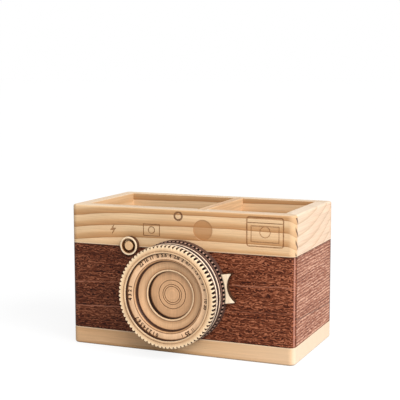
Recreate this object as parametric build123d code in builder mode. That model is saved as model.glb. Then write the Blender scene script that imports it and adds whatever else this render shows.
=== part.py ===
from build123d import *
from math import pi
import os

# Wooden pen holder in the shape of a small camera, in millimetres.
# X runs to the right as seen from the front, Y to the back and Z up.
# The origin is the middle of the base board's underside.

# Box of boards
body_width = 157.5
body_depth = 83.7
base_thickness = 11.5
band_height = 57.4
rail_height = 26.1
wall_thickness = 9.7
corner_radius = 4.0
corner_lap = 4.3
corner_heel = 0.8
base_edge_radius = 1.6
rim_edge_radius = 1.4
inner_edge_radius = 0.4
seam_chamfer = 0.25

# Divider between the two compartments
divider_thickness = 6.0
divider_centre_x = 13.5
divider_housing_depth = 3.0
divider_edge_radius = 0.4

# Lens axis, seen from the front, as a share of the dark band that carries it
lens_centre_x = 0.46
lens_rise_share = 0.5275

# Layers of the lens, from the front band outwards
lens_gap = 0.3
tab_ring_thickness = 4.25
rear_tooth_thickness = 2.0
plain_band_length = 2.3
bead_length = 2.6
groove_length = 2.2
neck_length = 1.3
front_tooth_thickness = 3.65

# Radii of the lens, and how far its rings stand proud of the barrel
barrel_radius = 32.8
tab_ring_proud = 0.9
rear_tooth_proud = 0.7
front_tooth_proud = 0.3
groove_drop = 0.5
spigot_radius_share = 0.606
tooth_count = 76
tooth_depth = 1.5
tooth_gap_share = 0.72
tooth_front_chamfer = 0.35

# Finger tab on the rear layer, measured outwards from the ring's edge
tab_width = 18.6
tab_length = 6.2
tab_waist_length = 1.8
tab_angle = 8.5
tab_tip_radius = 0.4

# Recessed face of the lens
grip_face_width = 3.4
face_edge_radius = 0.4
face_groove_inset = 1.4
face_groove_width = 0.4
face_groove_depth = 0.35
number_face_depth = 2.75
number_ring_width = 5.9
number_ring_thickness = 3.9
number_slope_width = 1.1
number_slope_depth = 1.75
step_face_depth = 6.1
step_fall = 1.4
step_width = 5.5
step_hollow = 0.35
lip_width = 1.3
lip_height = 0.6
barrel_floor = 1.95
disc_thickness = 2.3
disc_groove_shares = (0.34, 0.42, 0.60)
disc_groove_width = 0.5
disc_groove_depth = 0.4

# Pivot of the lens
pivot_screw_radius = 2.5
pivot_cover = 1.7
pivot_head_radius = 4.5
pivot_head_height = 2.4
pivot_head_edge_radius = 0.8
pivot_slot_width = 1.0
pivot_slot_depth = 1.1
pivot_washer_radius = 5.5
pivot_washer_thickness = 0.8
pivot_recess_clearance = 0.5
pivot_recess_depth = 4.0
pivot_play = 0.1
running_clearance = 0.08

# Round button, up and to the left of the lens
button_angle = 39.1
button_lens_gap = 4.67
button_groove = 1.75
collar_wall = 1.45
collar_length = 3.9
collar_edge_radius = 0.5
collar_edge_limit_share = 0.4
plug_radius = 3.0
plug_length = 3.5
plug_depth = 5.5
plug_edge_chamfer = 0.3

# Marks cut into the front rail
mark_depth = 0.5
fine_line = 0.6
bold_line = 0.9
finder_inset = 19.7
finder_width = 25.0
finder_corner_radius = 2.0
finder_rise_share = 0.565
finder_height_share = 0.735
finder_rule_share = 0.784
finder_inner_width = 18.9
finder_inner_height_share = 0.408
finder_inner_rise_share = 0.514
finder_circle_radius = 3.7
window_offset = -19.6
window_width = 12.1
window_height_share = 0.311
window_rise_share = 0.451
window_circle_radius = 2.5
index_offset = -0.5
index_ring_radius = 3.25
index_line = 1.3
index_rise_share = 0.838
plate_offset = 16.65
plate_radius = 6.7
plate_rise_share = 0.526
plate_depth = 0.4
bolt_offset = -47.7
bolt_width = 4.6
bolt_height = 7.1
bolt_rise_share = 0.42
bolt_outline_shares = ((0.2, 0.5), (-0.5, -0.12), (-0.02, -0.12), (-0.2, -0.5), (0.5, 0.12), (0.02, 0.12))

# Fits
glue_gap = 0.05
overrun = 1.0

# Heights and places that follow from the sizes above
seam_height = base_thickness + band_height
rim_height = seam_height + rail_height
front_y = -body_depth / 2
inner_depth = body_depth - 2 * wall_thickness
inner_width = body_width - 2 * wall_thickness
lens_height = base_thickness + band_height * lens_rise_share
lens_centre = (lens_centre_x, front_y, lens_height)

# Radii that follow from the barrel
tab_ring_radius = barrel_radius + tab_ring_proud
rear_tooth_radius = barrel_radius + rear_tooth_proud
front_tooth_radius = barrel_radius + front_tooth_proud
bead_foot = barrel_radius - bead_length / 2
groove_radius = bead_foot - groove_drop
spigot_radius = barrel_radius * spigot_radius_share
face_radius = front_tooth_radius - tooth_depth - grip_face_width
face_groove_radius = face_radius + face_groove_inset
number_inner_radius = face_radius - number_ring_width
lip_radius = number_inner_radius - step_width
disc_radius = lip_radius - lip_width
tab_reach = tab_ring_radius + tab_length
tab_waist_reach = tab_ring_radius + tab_waist_length
collar_radius = plug_radius + button_groove + collar_wall

# Distances of the lens layers from the front of the box
tab_front = lens_gap + tab_ring_thickness
rear_tooth_front = tab_front + rear_tooth_thickness
plain_band_front = rear_tooth_front + plain_band_length
rear_bead_front = plain_band_front + bead_length
groove_front = rear_bead_front + groove_length
front_bead_front = groove_front + bead_length
barrel_front = front_bead_front + neck_length
lens_front = barrel_front + front_tooth_thickness
number_face = lens_front - number_face_depth
number_seat = number_face - number_ring_thickness
step_face = lens_front - step_face_depth
lip_foot = step_face - step_fall
disc_seat = rear_tooth_front + barrel_floor
disc_face = disc_seat + disc_thickness
pivot_engagement = disc_seat - lens_gap - pivot_cover
recess_floor = pivot_recess_depth - wall_thickness
head_rear = recess_floor - pivot_play - pivot_washer_thickness - pivot_head_height

# Working planes: the front of the box, the lens seen from the front, a half section of the lens
front_plane = Plane(origin=(0, front_y, seam_height), x_dir=(1, 0, 0), z_dir=(0, -1, 0))
lens_plane = Plane(origin=lens_centre, x_dir=(1, 0, 0), z_dir=(0, -1, 0))
tab_direction = Vector(1, 0, 0).rotate(Axis.Y, -tab_angle)
tab_plane = Plane(origin=lens_plane.offset(lens_gap).origin, x_dir=tab_direction, z_dir=(0, -1, 0))
lens_section = Plane(origin=lens_centre, x_dir=(1, 0, 0), z_dir=(0, 0, -1))
lens_axis = Axis(lens_centre, (0, -1, 0))
button_distance = tab_ring_radius + button_lens_gap + collar_radius
button_offset = Vector(-button_distance, 0, 0).rotate(Axis.Y, button_angle)
button_plane = Plane(origin=Vector(*lens_centre) + button_offset, x_dir=(1, 0, 0), z_dir=(0, -1, 0))


def board_outline(side):
    """Plan of one board between its joints: the long boards lap around the outer corners,
    and their joints land a little past the inner corners."""
    lean = (wall_thickness + corner_heel - corner_lap) / wall_thickness
    far_y = body_depth / 2 + overrun
    outer_x = body_width / 2 + overrun
    outer_y = body_depth / 2 - corner_lap + overrun * lean
    inner_x = inner_width / 2 - overrun
    inner_y = inner_depth / 2 - corner_heel - overrun * lean
    long_side = (
        (-outer_x, far_y),
        (-outer_x, outer_y),
        (-inner_x, inner_y),
        (inner_x, inner_y),
        (outer_x, outer_y),
        (outer_x, far_y),
    )
    short_side = ((outer_x, -outer_y), (outer_x, outer_y), (inner_x, inner_y), (inner_x, -inner_y))
    outlines = {
        "front": [(x, -y) for x, y in long_side],
        "rear": long_side,
        "left": [(-x, y) for x, y in short_side],
        "right": short_side,
    }
    return outlines[side]


def keep_board(side, low, height):
    """Keeps of the wall ring in work only the board on one side."""
    with BuildSketch(Plane.XY.offset(low)) as board_plan:
        with BuildLine():
            Polyline(*board_outline(side), close=True)
        make_face()
    extrude(board_plan.sketch, amount=height, mode=Mode.INTERSECT)


def cut_housing(low, height):
    """Cuts the housing of the divider into the front and rear walls."""
    with BuildSketch(Plane.XY.offset(low)) as housing_plan:
        with Locations((divider_centre_x, 0)):
            Rectangle(divider_thickness + 2 * glue_gap, inner_depth + 2 * (divider_housing_depth + glue_gap))
    extrude(housing_plan.sketch, amount=height, mode=Mode.SUBTRACT)


def cut_plug_hole():
    """Bores the hole that the button's plug is glued into."""
    with BuildSketch(button_plane) as hole_outline:
        Circle(plug_radius + glue_gap)
    extrude(hole_outline.sketch, amount=-plug_depth - glue_gap, mode=Mode.SUBTRACT)


def toothed_disc(radius):
    """Draws a disc with even V notches around its edge into the sketch in work."""
    notch_half = tooth_gap_share * pi * radius / tooth_count
    mouth_half = notch_half * (tooth_depth + overrun) / tooth_depth
    Circle(radius)
    with PolarLocations(radius, tooth_count):
        Polygon(
            (-tooth_depth, 0),
            (overrun, -mouth_half),
            (overrun, mouth_half),
            align=None,
            mode=Mode.SUBTRACT,
        )


def front_edge(block, radius):
    """The round edge of one radius that lies furthest forward on a lens piece."""
    rounds = block.edges().filter_by(GeomType.CIRCLE)
    return rounds.filter_by(lambda edge: abs(edge.radius - radius) < glue_gap).sort_by(Axis.Y)[0]


def write_node(block, name):
    """Labels a finished piece and writes it to its own file."""
    block.part.label = name
    export_step(block.part, f"parts/{name}.step")


os.makedirs("parts", exist_ok=True)

# Base board, rounded at its corners and along its lower edge
with BuildPart() as base_board:
    with BuildSketch():
        RectangleRounded(body_width, body_depth, corner_radius)
    extrude(amount=base_thickness)
    fillet(base_board.faces().sort_by(Axis.Z)[0].edges(), base_edge_radius)
    chamfer(base_board.faces().sort_by(Axis.Z)[-1].edges(), seam_chamfer)
write_node(base_board, "base_board")

# Dark band as one closed ring, before it is cut into four boards
with BuildPart() as band_ring:
    with BuildSketch(Plane.XY.offset(base_thickness)):
        RectangleRounded(body_width, body_depth, corner_radius)
        Rectangle(inner_width, inner_depth, mode=Mode.SUBTRACT)
    extrude(amount=band_height)
    chamfer(band_ring.faces().sort_by(Axis.Z)[0].outer_wire().edges(), seam_chamfer)
    chamfer(band_ring.faces().sort_by(Axis.Z)[-1].outer_wire().edges(), seam_chamfer)

# Pine rail as one closed ring, rounded along the rim
with BuildPart() as rail_ring:
    with BuildSketch(Plane.XY.offset(seam_height)):
        RectangleRounded(body_width, body_depth, corner_radius)
        Rectangle(inner_width, inner_depth, mode=Mode.SUBTRACT)
    extrude(amount=rail_height)
    chamfer(rail_ring.faces().sort_by(Axis.Z)[0].outer_wire().edges(), seam_chamfer)
    fillet(rail_ring.faces().sort_by(Axis.Z)[-1].outer_wire().edges(), rim_edge_radius)
    fillet(rail_ring.faces().sort_by(Axis.Z)[-1].inner_wires()[0].edges(), inner_edge_radius)

# Plain boards of the two short sides
for side in ("left", "right"):
    with BuildPart() as side_band:
        add(band_ring.part)
        keep_board(side, base_thickness, band_height)
    write_node(side_band, f"{side}_band")

    with BuildPart() as side_rail:
        add(rail_ring.part)
        keep_board(side, seam_height, rail_height)
    write_node(side_rail, f"{side}_rail")

# Rear boards with the housing of the divider
with BuildPart() as rear_band:
    add(band_ring.part)
    keep_board("rear", base_thickness, band_height)
    cut_housing(base_thickness, band_height)
write_node(rear_band, "rear_band")

with BuildPart() as rear_rail:
    add(rail_ring.part)
    keep_board("rear", seam_height, rail_height)
    cut_housing(seam_height, rail_height)
write_node(rear_rail, "rear_rail")

# Front dark board: housing, pivot bore with its counterbore on the inner face, half of the plug hole
with BuildPart() as front_band:
    add(band_ring.part)
    keep_board("front", base_thickness, band_height)
    cut_housing(base_thickness, band_height)
    with BuildSketch(lens_plane):
        Circle(pivot_screw_radius + running_clearance)
    extrude(amount=-wall_thickness, mode=Mode.SUBTRACT)
    with BuildSketch(lens_plane.offset(-wall_thickness)):
        Circle(pivot_washer_radius + pivot_recess_clearance)
    extrude(amount=pivot_recess_depth, mode=Mode.SUBTRACT)
    cut_plug_hole()
write_node(front_band, "front_band")

# Front rail with its cut marks: finder frame, window, index ring, bare round plate and flash bolt
with BuildPart() as front_rail:
    add(rail_ring.part)
    keep_board("front", seam_height, rail_height)
    cut_housing(seam_height, rail_height)
    cut_plug_hole()

    finder_x = body_width / 2 - finder_inset
    finder_height = rail_height * finder_height_share
    finder_inner_height = rail_height * finder_inner_height_share
    with BuildSketch(front_plane):
        with Locations((finder_x, rail_height * finder_rise_share)):
            RectangleRounded(finder_width, finder_height, finder_corner_radius)
            RectangleRounded(
                finder_width - 2 * bold_line,
                finder_height - 2 * bold_line,
                finder_corner_radius - bold_line,
                mode=Mode.SUBTRACT,
            )
            Circle(finder_circle_radius)
            Circle(finder_circle_radius - fine_line, mode=Mode.SUBTRACT)
        with Locations((finder_x, rail_height * finder_rule_share)):
            Rectangle(finder_width - bold_line, fine_line)
        with Locations((window_offset + lens_centre_x, rail_height * window_rise_share)):
            Rectangle(window_width, rail_height * window_height_share)
            Rectangle(
                window_width - 2 * fine_line,
                rail_height * window_height_share - 2 * fine_line,
                mode=Mode.SUBTRACT,
            )
            Circle(window_circle_radius)
            Circle(window_circle_radius - fine_line, mode=Mode.SUBTRACT)
        with Locations((index_offset + lens_centre_x, rail_height * index_rise_share)):
            Circle(index_ring_radius)
            Circle(index_ring_radius - index_line, mode=Mode.SUBTRACT)
        with BuildLine():
            bolt_centre = Vector(bolt_offset + lens_centre_x, rail_height * bolt_rise_share)
            bolt_points = [
                bolt_centre + Vector(along * bolt_width, up * bolt_height)
                for along, up in bolt_outline_shares
            ]
            Polyline(*bolt_points, close=True)
        make_face()
    extrude(amount=-mark_depth, mode=Mode.SUBTRACT)

    with BuildSketch(front_plane):
        with Locations((finder_x, rail_height * finder_inner_rise_share)):
            Rectangle(finder_inner_width, finder_inner_height)
            Rectangle(
                finder_inner_width - 2 * fine_line,
                finder_inner_height - 2 * fine_line,
                mode=Mode.SUBTRACT,
            )
    extrude(amount=-mark_depth, mode=Mode.SUBTRACT)

    with BuildSketch(front_plane):
        with Locations((plate_offset + lens_centre_x, rail_height * plate_rise_share)):
            Circle(plate_radius)
    extrude(amount=-plate_depth, mode=Mode.SUBTRACT)
write_node(front_rail, "front_rail")

# Divider, standing on the base board and flush with the rim
with BuildPart() as divider:
    with BuildSketch(Plane.XY.offset(base_thickness)):
        with Locations((divider_centre_x, 0)):
            Rectangle(divider_thickness, inner_depth + 2 * divider_housing_depth)
    extrude(amount=rim_height - base_thickness)
    fillet(divider.faces().sort_by(Axis.Z)[-1].edges().filter_by(Axis.Y), divider_edge_radius)
write_node(divider, "divider")

# Rear layer of the lens: a flat ring with the finger tab, hollowed for the fingertip
with BuildPart() as tab_ring:
    with BuildSketch(tab_plane) as tab_outline:
        Circle(tab_ring_radius)
        with BuildLine():
            tab_low = (tab_reach, -tab_width / 2)
            tab_high = (tab_reach, tab_width / 2)
            Polyline((0, -tab_width / 2), tab_low)
            ThreePointArc(tab_low, (tab_waist_reach, 0), tab_high)
            Polyline(tab_high, (0, tab_width / 2), (0, -tab_width / 2))
        make_face()
        fillet(tab_outline.vertices().sort_by(Axis.X)[-2:], tab_tip_radius)
        Circle(spigot_radius, mode=Mode.SUBTRACT)
    extrude(amount=tab_ring_thickness)
write_node(tab_ring, "tab_ring")

# Thin toothed ring in front of the tab ring
with BuildPart() as rear_tooth_ring:
    with BuildSketch(lens_plane.offset(tab_front)):
        toothed_disc(rear_tooth_radius)
        Circle(spigot_radius, mode=Mode.SUBTRACT)
    extrude(amount=rear_tooth_thickness)
write_node(rear_tooth_ring, "rear_tooth_ring")

# Turned barrel: spigot for the two rear rings, plain band, two half-round beads, stepped recess
with BuildPart() as barrel:
    with BuildSketch(lens_section):
        with BuildLine():
            spigot = spigot_radius - glue_gap
            Polyline(
                (0, disc_seat),
                (0, lens_gap),
                (spigot, lens_gap),
                (spigot, rear_tooth_front),
                (barrel_radius, rear_tooth_front),
                (barrel_radius, plain_band_front),
                (bead_foot, plain_band_front),
            )
            ThreePointArc(
                (bead_foot, plain_band_front),
                (barrel_radius, plain_band_front + bead_length / 2),
                (bead_foot, rear_bead_front),
            )
            Polyline(
                (bead_foot, rear_bead_front),
                (groove_radius, rear_bead_front),
                (groove_radius, groove_front),
                (bead_foot, groove_front),
            )
            ThreePointArc(
                (bead_foot, groove_front),
                (barrel_radius, groove_front + bead_length / 2),
                (bead_foot, front_bead_front),
            )
            Polyline(
                (bead_foot, front_bead_front),
                (groove_radius, front_bead_front),
                (groove_radius, barrel_front),
                (face_radius, barrel_front),
                (face_radius, number_seat),
                (number_inner_radius, number_seat),
                (number_inner_radius, disc_seat),
                (0, disc_seat),
            )
        make_face()
    revolve(axis=lens_axis)
    with BuildSketch(lens_plane.offset(lens_gap)):
        Circle(pivot_screw_radius)
    extrude(amount=pivot_engagement + glue_gap, mode=Mode.SUBTRACT)
write_node(barrel, "barrel")

# Toothed grip ring at the front, with a fine turned line and a rounded inner edge
with BuildPart() as front_tooth_ring:
    with BuildSketch(lens_plane.offset(barrel_front)):
        toothed_disc(front_tooth_radius)
        Circle(face_radius, mode=Mode.SUBTRACT)
    extrude(amount=front_tooth_thickness)
    with BuildSketch(lens_section):
        with BuildLine():
            Polyline(
                (front_tooth_radius - tooth_front_chamfer, lens_front),
                (front_tooth_radius + overrun, lens_front),
                (front_tooth_radius + overrun, lens_front - tooth_front_chamfer - overrun),
                close=True,
            )
        make_face()
    revolve(axis=lens_axis, mode=Mode.SUBTRACT)
    with BuildSketch(lens_plane.offset(lens_front)):
        Circle(face_groove_radius + face_groove_width / 2)
        Circle(face_groove_radius - face_groove_width / 2, mode=Mode.SUBTRACT)
    extrude(amount=-face_groove_depth, mode=Mode.SUBTRACT)
    fillet(front_edge(front_tooth_ring, face_radius), face_edge_radius)
write_node(front_tooth_ring, "front_tooth_ring")

# Flat ring for the numbers, with a slope towards the step ring
with BuildPart() as number_ring:
    with BuildSketch(lens_section):
        with BuildLine():
            number_outer_radius = face_radius - glue_gap
            Polyline(
                (number_outer_radius, number_seat),
                (number_outer_radius, number_face),
                (number_inner_radius + number_slope_width, number_face),
                (number_inner_radius, number_face - number_slope_depth),
                (number_inner_radius, number_seat),
                close=True,
            )
        make_face()
    revolve(axis=lens_axis)
write_node(number_ring, "number_ring")

# Step ring with a hollow slope and a raised lip around the lens disc
with BuildPart() as step_ring:
    with BuildSketch(lens_section):
        with BuildLine():
            step_outer_radius = number_inner_radius - glue_gap
            slope_middle = ((step_outer_radius + lip_radius) / 2, (step_face + lip_foot) / 2 - step_hollow)
            lip_middle = (lip_radius - lip_width / 2, lip_foot + lip_height)
            Polyline((disc_radius, lip_foot), (disc_radius, disc_seat), (step_outer_radius, disc_seat))
            Line((step_outer_radius, disc_seat), (step_outer_radius, step_face))
            ThreePointArc((step_outer_radius, step_face), slope_middle, (lip_radius, lip_foot))
            ThreePointArc((lip_radius, lip_foot), lip_middle, (disc_radius, lip_foot))
        make_face()
    revolve(axis=lens_axis)
write_node(step_ring, "step_ring")

# Disc at the bottom of the lens with plain turned rings
with BuildPart() as lens_disc:
    with BuildSketch(lens_plane.offset(disc_seat)):
        Circle(disc_radius - glue_gap)
    extrude(amount=disc_thickness)
    with BuildSketch(lens_plane.offset(disc_face)):
        for share in disc_groove_shares[::-1]:
            Circle(disc_radius * share + disc_groove_width / 2)
            Circle(disc_radius * share - disc_groove_width / 2, mode=Mode.SUBTRACT)
    extrude(amount=-disc_groove_depth, mode=Mode.SUBTRACT)
write_node(lens_disc, "lens_disc")

# Pivot screw, driven from inside the box into the barrel, with a slotted head
with BuildPart() as pivot_screw:
    with BuildSketch(lens_plane.offset(head_rear)):
        Circle(pivot_screw_radius)
    extrude(amount=lens_gap + pivot_engagement - head_rear)
    with BuildSketch(lens_plane.offset(head_rear)):
        Circle(pivot_head_radius)
    extrude(amount=pivot_head_height)
    head_edge = pivot_screw.faces().sort_by(Axis.Y)[-1].edges()
    fillet(head_edge, pivot_head_edge_radius)
    with BuildSketch(lens_plane.offset(head_rear)):
        Rectangle(2 * pivot_head_radius + overrun, pivot_slot_width)
    extrude(amount=pivot_slot_depth, mode=Mode.SUBTRACT)
write_node(pivot_screw, "pivot_screw")

# Washer between the screw's head and the floor of the counterbore
with BuildPart() as pivot_washer:
    with BuildSketch(lens_plane.offset(head_rear + pivot_head_height)):
        Circle(pivot_washer_radius)
        Circle(pivot_screw_radius + glue_gap, mode=Mode.SUBTRACT)
    extrude(amount=pivot_washer_thickness)
write_node(pivot_washer, "pivot_washer")

# Button: a rounded collar glued to the front and a plug glued into its hole
with BuildPart() as button_collar:
    with BuildSketch(button_plane):
        Circle(collar_radius)
        Circle(plug_radius + button_groove, mode=Mode.SUBTRACT)
    extrude(amount=collar_length)
    collar_rounding = min(collar_edge_radius, collar_wall * collar_edge_limit_share)
    fillet(button_collar.faces().sort_by(Axis.Y)[0].edges(), collar_rounding)
write_node(button_collar, "button_collar")

with BuildPart() as button_plug:
    with BuildSketch(button_plane.offset(-plug_depth)):
        Circle(plug_radius)
    extrude(amount=plug_depth + plug_length)
    chamfer(button_plug.faces().sort_by(Axis.Y)[0].edges(), plug_edge_chamfer)
write_node(button_plug, "button_plug")
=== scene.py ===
# %% [markdown]
# # A wooden pen holder in the shape of a small camera
# The box is made of boards: a pine base, a band of dark hardwood and a pine rail around the rim.
# A lens built up from turned and toothed pine rings sits on the front and turns by its finger tab.
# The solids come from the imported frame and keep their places. This lesson gives them their wood,
# adds the burnt numbers on the lens, and sets up the light and the camera.

from math import cos, pi, radians, sin

import bmesh
import bpy
from mathutils import Matrix, Vector


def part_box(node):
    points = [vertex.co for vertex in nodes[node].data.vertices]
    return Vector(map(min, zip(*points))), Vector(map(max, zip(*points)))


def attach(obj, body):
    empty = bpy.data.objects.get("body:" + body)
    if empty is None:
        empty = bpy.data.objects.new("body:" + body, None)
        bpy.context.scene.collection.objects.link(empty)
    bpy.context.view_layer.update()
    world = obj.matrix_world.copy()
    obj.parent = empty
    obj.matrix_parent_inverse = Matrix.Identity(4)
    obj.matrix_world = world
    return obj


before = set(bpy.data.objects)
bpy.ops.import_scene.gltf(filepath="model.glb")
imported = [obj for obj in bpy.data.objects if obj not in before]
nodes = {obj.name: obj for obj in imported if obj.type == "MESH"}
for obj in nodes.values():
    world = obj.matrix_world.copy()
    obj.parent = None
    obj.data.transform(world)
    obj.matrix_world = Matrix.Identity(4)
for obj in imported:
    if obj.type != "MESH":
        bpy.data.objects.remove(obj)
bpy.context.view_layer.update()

# %% [markdown]
# ## Places that the finishes need
# A finish on the real object follows the piece: the scorched walls of the lens lie around its axis,
# and the cut marks lie just behind the front face. The same places are measured here once, from the
# solids, so that the materials can be drawn in millimetres around them.

# %% Measured places
MM = 0.001
front_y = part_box("front_rail")[0].y / MM
base_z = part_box("front_band")[0].z / MM
seam_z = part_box("front_rail")[0].z / MM
rim_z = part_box("front_rail")[1].z / MM
half_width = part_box("base_board")[1].x / MM
half_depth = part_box("base_board")[1].y / MM
ring_low, ring_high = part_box("number_ring")
lens_x = (ring_low.x + ring_high.x) / 2 / MM
lens_z = (ring_low.z + ring_high.z) / 2 / MM
number_face_y = ring_low.y / MM
side_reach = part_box("right_band")[1].y / MM
front_board_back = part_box("front_band")[1].y / MM
side_board_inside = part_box("right_band")[0].x / MM
joint_lean = (side_reach + front_board_back) / (half_width - side_board_inside)
print("lens axis", round(lens_x, 3), round(lens_z, 3), "front", round(front_y, 3), "rim", round(rim_z, 3))

# %% [markdown]
# ## Small helpers for wood materials
# A wood finish is a chain of many small nodes: coordinates in millimetres, stretched noise for the
# fibres, and colour ramps. Each helper adds one of those steps to a material and returns the output
# that the next step reads, so that a finish can be written as a short recipe. Colours are written as
# a screen shows them, from 0 to 255, and turned into the linear values that the shader works with.

# %% Colours
def tone(red, green, blue):
    """A colour as a screen shows it, turned into the linear values of the shader."""
    linear = []
    for part in (red, green, blue):
        share = part / 255.0
        linear.append(share / 12.92 if share <= 0.04045 else ((share + 0.055) / 1.055) ** 2.4)
    return (*linear, 1.0)


def shades(*rows):
    """Ramp stops from rows of a place and a screen colour."""
    return [(place, tone(*colour)) for place, *colour in rows]


print("mid grey in linear light:", round(tone(128, 128, 128)[0], 3))

# %% Node helpers
def add_node(tree, kind, sockets, **options):
    """Adds one shader node, with its options set and its sockets linked or filled."""
    made = tree.nodes.new("ShaderNode" + kind)
    for key, value in options.items():
        setattr(made, key, value)
    for key, value in sockets.items():
        if isinstance(value, bpy.types.NodeSocket):
            tree.links.new(value, made.inputs[key])
        else:
            made.inputs[key].default_value = value
    return made


def calc(tree, operation, first, second=0.0, third=0.0):
    """One step of arithmetic on numbers."""
    return add_node(tree, "Math", {0: first, 1: second, 2: third}, operation=operation).outputs[0]


def product(tree, first, *others):
    """Several numbers multiplied together."""
    for other in others:
        first = calc(tree, "MULTIPLY", first, other)
    return first


def rescale(tree, value, low, high, to_low=0.0, to_high=1.0, kind="SMOOTHSTEP"):
    """Maps a number from one range to another, with a soft start and end unless told otherwise."""
    sockets = {0: value, 1: low, 2: high, 3: to_low, 4: to_high}
    return add_node(tree, "MapRange", sockets, interpolation_type=kind).outputs[0]


def apart(tree, first, second):
    """How far two numbers lie apart."""
    return calc(tree, "ABSOLUTE", calc(tree, "SUBTRACT", first, second))


def between(tree, value, low, high):
    """1 where a number lies between two limits and 0 elsewhere."""
    return product(tree, calc(tree, "GREATER_THAN", value, low), calc(tree, "LESS_THAN", value, high))


def split(tree, vector):
    """The three numbers of a vector."""
    return add_node(tree, "SeparateXYZ", {0: vector}).outputs


print("node helpers: add_node, calc, product, rescale, apart, between, split")

# %% Noise helpers
def fibre_noise(tree, place, lengths, detail=2.0, roughness=0.5):
    """Noise whose blobs have the given lengths in millimetres along the three axes."""
    shares = [1.0 / length for length in lengths]
    squeezed = add_node(tree, "VectorMath", {0: place, 1: shares}, operation="MULTIPLY").outputs[0]
    sockets = {"Vector": squeezed, "Scale": 1.0, "Detail": detail, "Roughness": roughness}
    return add_node(tree, "TexNoise", sockets).outputs[0]


def spread(tree, noise, low, high):
    """Stretches the middle of a noise so that it runs from one number to another."""
    return rescale(tree, noise, 0.3, 0.7, low, high)


def wander(tree, place, lengths, reach):
    """A noise that swings as far below 0 as above it."""
    return calc(tree, "MULTIPLY_ADD", fibre_noise(tree, place, lengths), 2 * reach, -reach)


print("noise helpers: fibre_noise, spread, wander")

# %% Colour helpers
def mix_colour(tree, share, first, second, mode="MIX"):
    """Mixes two colours, or multiplies the second onto the first."""
    sockets = {0: share, 6: first, 7: second}
    return add_node(tree, "Mix", sockets, data_type="RGBA", blend_type=mode).outputs[2]


def shade(tree, colour, amount):
    """Darkens or lightens a colour by a number that varies around 1."""
    grey = add_node(tree, "CombineColor", {0: amount, 1: amount, 2: amount}).outputs[0]
    return mix_colour(tree, 1.0, colour, grey, "MULTIPLY")


def ramp(tree, value, stops, low=0.0, high=1.0):
    """A colour ramp between two values, with stops given as (value, colour)."""
    made = add_node(tree, "ValToRGB", {0: rescale(tree, value, low, high, kind="LINEAR")})
    scale = made.color_ramp
    while len(scale.elements) < len(stops):
        scale.elements.new(1.0)
    for element, (position, colour) in zip(scale.elements, stops):
        element.position = (position - low) / (high - low)
        element.color = colour
    return made.outputs[0]


print("colour helpers: mix_colour, shade, ramp")

# %% Place helpers
def place_in_mm(tree, turn=(0.0, 0.0, 0.0), shift=(0.0, 0.0, 0.0)):
    """The point on the piece in millimetres, turned and shifted so that X runs along the grain."""
    coordinates = add_node(tree, "TexCoord", {})
    sockets = {
        "Vector": coordinates.outputs["Object"],
        "Location": shift,
        "Rotation": [radians(angle) for angle in turn],
        "Scale": (1.0 / MM, 1.0 / MM, 1.0 / MM),
    }
    return add_node(tree, "Mapping", sockets).outputs[0]


def off_line(tree, place, kept):
    """Distance from a line through the origin, measured along the axes that are kept."""
    flat = add_node(tree, "VectorMath", {0: place, 1: kept}, operation="MULTIPLY").outputs[0]
    return add_node(tree, "VectorMath", {0: flat}, operation="LENGTH").outputs[1]


def facing_axes(tree):
    """How much the surface faces along each of the three axes."""
    return split(tree, add_node(tree, "TexCoord", {}).outputs["Normal"])


print("place helpers: place_in_mm, off_line, facing_axes")

# %% Finish helpers
def new_finish(name):
    """A fresh material with its node tree and its main shader."""
    finish = bpy.data.materials.new(name)
    finish.use_nodes = True
    tree = finish.node_tree
    return finish, tree, tree.nodes["Principled BSDF"]


def dress(tree, shader, colour, roughness):
    """Gives the main shader its colour and its roughness."""
    tree.links.new(colour, shader.inputs["Base Color"])
    tree.links.new(roughness, shader.inputs["Roughness"])


def raise_fibres(tree, shader, height, distance_mm, strength):
    """Lets a height pattern stand out of the surface as a fine bump."""
    sockets = {"Height": height, "Distance": distance_mm * MM, "Strength": strength}
    bump = add_node(tree, "Bump", sockets)
    tree.links.new(bump.outputs[0], shader.inputs["Normal"])


def paint(finish, *names):
    """Puts a finish on CAD nodes by their names."""
    for name in names:
        for holder in nodes[name].material_slots:
            holder.material = finish
    print("finish", finish.name, "on", ", ".join(names))


print("finish helpers: new_finish, dress, raise_fibres, paint")

# %% [markdown]
# ## Corners and seams
# The long boards lap around the four corners, and the short boards end against them a few millimetres
# behind the corner. On the rounded pine corners the rings of the wood are cut across, which leaves short
# dark dashes that fall steeply around the corner. On the dark boards the joint shows as a thin broken
# line. Such flat marks could be thin pieces of their own, but both boards of a corner end exactly in one
# slanted plane, so it is simpler to draw both patterns from the distance to that plane. The dark boards
# are darker still along their seams, painted shade where the small chamfers would lie in shadow, while the
# pine is a little paler there, a painted highlight where the chamfers would catch the light.

# %% Corner patterns
rim_edge = 1.6
dash_fall, dash_top, dash_spacing = 1.25, 92.8, 7.9
dash_corner = 2.0


def off_joint(tree, place):
    """Distance from the corner joints, below 0 on the long boards and above 0 on the short ones."""
    axes = split(tree, place)
    inwards = calc(tree, "SUBTRACT", half_width, calc(tree, "ABSOLUTE", axes[0]))
    along = calc(tree, "MULTIPLY_ADD", inwards, joint_lean, calc(tree, "ABSOLUTE", axes[1]))
    return calc(tree, "SUBTRACT", side_reach, along)


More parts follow.
